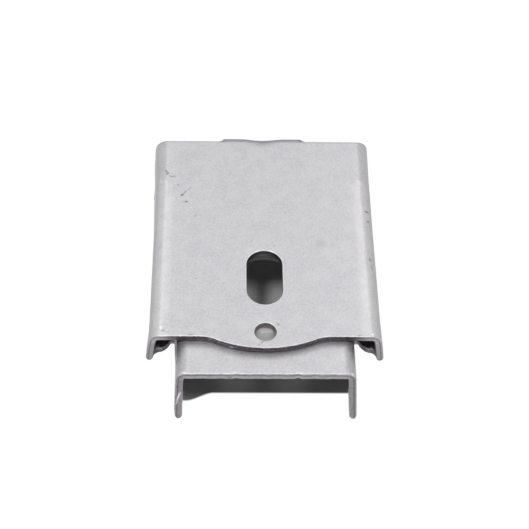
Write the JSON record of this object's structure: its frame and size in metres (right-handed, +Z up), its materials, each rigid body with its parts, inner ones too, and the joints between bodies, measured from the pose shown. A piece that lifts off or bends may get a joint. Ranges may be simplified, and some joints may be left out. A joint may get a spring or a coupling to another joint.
{
  "type": "valance clip",
  "caption": "Folded sheet-steel clip: a lipped plate with a screw slot and a wavy front edge, folded at the rear over a narrower, taller channel.",
  "frame": {"origin": "under the middle of the clip's overall box, on the surface that it stands on", "axes": "+Z up, from the standing edges to the plate's face; +Y from the wavy front edge to the fold; +X across, to the right seen from the front"},
  "size_m": [0.035, 0.0458, 0.013],
  "materials": {
    "coated_steel": "satin silver-grey coat with bare dark grey cut edges"
  },
  "bodies": {
    "root": {"clip_body": "coated_steel"}
  },
  "joints": []
}
